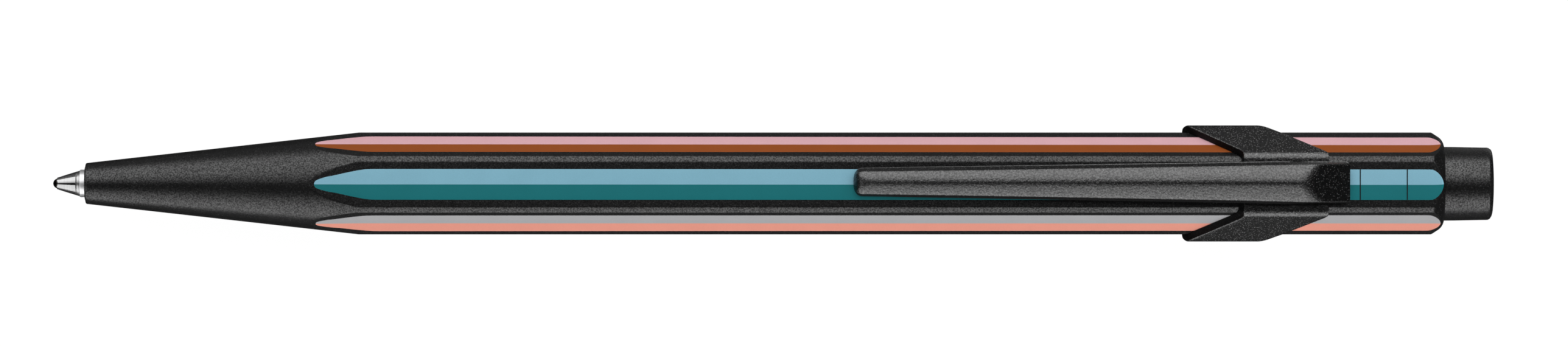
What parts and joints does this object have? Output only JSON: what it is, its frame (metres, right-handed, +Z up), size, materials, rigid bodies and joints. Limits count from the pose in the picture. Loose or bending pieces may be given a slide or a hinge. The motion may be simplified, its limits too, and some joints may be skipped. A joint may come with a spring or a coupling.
{
  "type": "click ballpoint pen",
  "caption": "Slim hexagonal click ballpoint pen, satin black with two-tone printed stripes on each flat, a sprung wrap-around pocket clip and a push button; tip out, lying on its back.",
  "frame": {"origin": "under the middle of the pen's bounding box, on the back flat that it lies on", "axes": "+X along the pen from the writing tip to the push button, +Z up to the clip side, +Y across"},
  "size_m": [0.126, 0.0102, 0.0115],
  "materials": {
    "barrel_paint": "aluminium under fine-grained satin black powder paint, with a printed two-tone panel on each flat",
    "clip_paint": "spring steel under fine-grained satin black powder paint",
    "button_paint": "aluminium under fine-grained satin black powder paint",
    "turned_brass": "turned, satin",
    "drawn_steel": "drawn tube, satin",
    "spring_wire": "drawn wire, semi-bright",
    "cam_plastic": "natural white moulded plastic",
    "ball_carbide": "ground hard metal, dark with ink",
    "tip_nickel": "bright turned nickel silver",
    "refill_metal": "drawn tube, satin",
    "ink": "thick blue ink",
    "plug_plastic": "moulded plastic"
  },
  "bodies": {
    "barrel": {"barrel": "barrel_paint", "clip_collar": "clip_paint", "return_spring": "spring_wire"},
    "clip": {"clip_arm": "clip_paint"},
    "mechanism": {"threaded_collar": "turned_brass", "cam_sleeve": "drawn_steel", "sleeve_snap_ring": "spring_wire"},
    "button": {"push_button": "button_paint", "button_plunger": "cam_plastic"},
    "rotor": {"cam_rotor": "cam_plastic"},
    "refill": {"tip_ball": "ball_carbide", "tip_cone": "tip_nickel", "refill_neck": "tip_nickel", "refill_tube": "refill_metal", "ink_column": "ink", "refill_end_plug": "plug_plastic"}
  },
  "joints": [
    {"name": "clip_flex", "type": "hinge", "parent": "barrel", "child": "clip", "pos_m": [0.05008, 0, 0.00883], "axis": [0, 1, 0], "range_deg": [0, 4], "stiffness_Nm_per_rad": 2, "springref_deg": -1.15},
    {"name": "mechanism_pull", "type": "slide", "parent": "barrel", "child": "mechanism", "axis": [1, 0, 0], "range_m": [0, 0.02]},
    {"name": "button_push", "type": "slide", "parent": "mechanism", "child": "button", "axis": [1, 0, 0], "range_m": [-0.0011, 0.004]},
    {"name": "cam_turn", "type": "hinge", "parent": "button", "child": "rotor", "pos_m": [0.04, 0, 0.004], "axis": [1, 0, 0], "range_deg": [-13, 46]},
    {"name": "refill_slide", "type": "slide", "parent": "barrel", "child": "refill", "axis": [1, 0, 0], "range_m": [-0.0012, 0.0041], "deforming": ["return_spring"]}
  ],
  "couplings": [
    {"joint": "refill_slide", "follows": "button_push", "ratio": 1},
    {"joint": "cam_turn", "follows": "button_push", "rad_per_m": 196.35}
  ]
}
